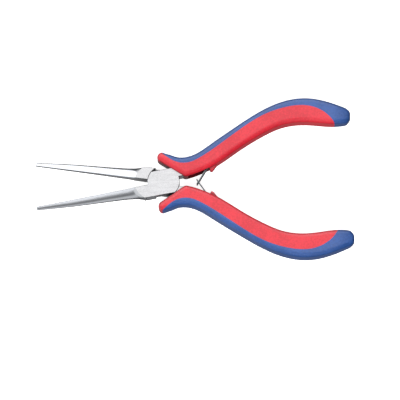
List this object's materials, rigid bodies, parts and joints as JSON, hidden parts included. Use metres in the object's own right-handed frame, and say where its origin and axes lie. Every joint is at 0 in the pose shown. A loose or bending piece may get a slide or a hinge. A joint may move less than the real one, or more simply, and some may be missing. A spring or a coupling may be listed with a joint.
{
  "type": "long nose pliers",
  "caption": "Slim long-nose hand pliers with smooth flat gripping faces, flush lap joint, leaf return spring and moulded grips in contrasting colours.",
  "frame": {"origin": "on the pivot axis, at the underside of the joint", "axes": "+X from the jaws towards the handle ends along the tool's centre line, +Z along the pivot axis towards the top lap"},
  "size_m": [0.1503, 0.0774, 0.0106],
  "materials": {
    "tool_steel": "polished jaws, fine ground joint faces",
    "red_grip": "satin moulded red",
    "blue_grip": "satin moulded blue",
    "spring_steel": "heat-treated grey spring strip"
  },
  "bodies": {
    "bottom_half": {"bottom_lever": "tool_steel", "bottom_grip_body": "red_grip", "bottom_grip_spine": "blue_grip"},
    "top_half": {"top_lever": "tool_steel", "pivot_rivet": "tool_steel", "top_grip_body": "red_grip", "top_grip_spine": "blue_grip"},
    "top_leaf": {"top_spring_leaf": "spring_steel"},
    "bottom_leaf": {"bottom_spring_leaf": "spring_steel"}
  },
  "joints": [
    {"name": "main_pivot", "type": "hinge", "parent": "bottom_half", "child": "top_half", "pos_m": [0, 0, 0.0035], "axis": [0, 0, 1], "range_deg": [-18.3, 2], "stiffness_Nm_per_rad": 1},
    {"name": "top_leaf_root", "type": "hinge", "parent": "top_half", "child": "top_leaf", "pos_m": [0.02108, 0.00681, 0.0035], "axis": [0, 0, 1], "range_deg": [-24, 4]},
    {"name": "bottom_leaf_root", "type": "hinge", "parent": "bottom_half", "child": "bottom_leaf", "pos_m": [0.02108, -0.00681, 0.0035], "axis": [0, 0, 1], "range_deg": [-4, 24]}
  ],
  "couplings": [
    {"joint": "top_leaf_root", "follows": "main_pivot", "ratio": 1.3},
    {"joint": "bottom_leaf_root", "follows": "main_pivot", "ratio": -1.3}
  ]
}
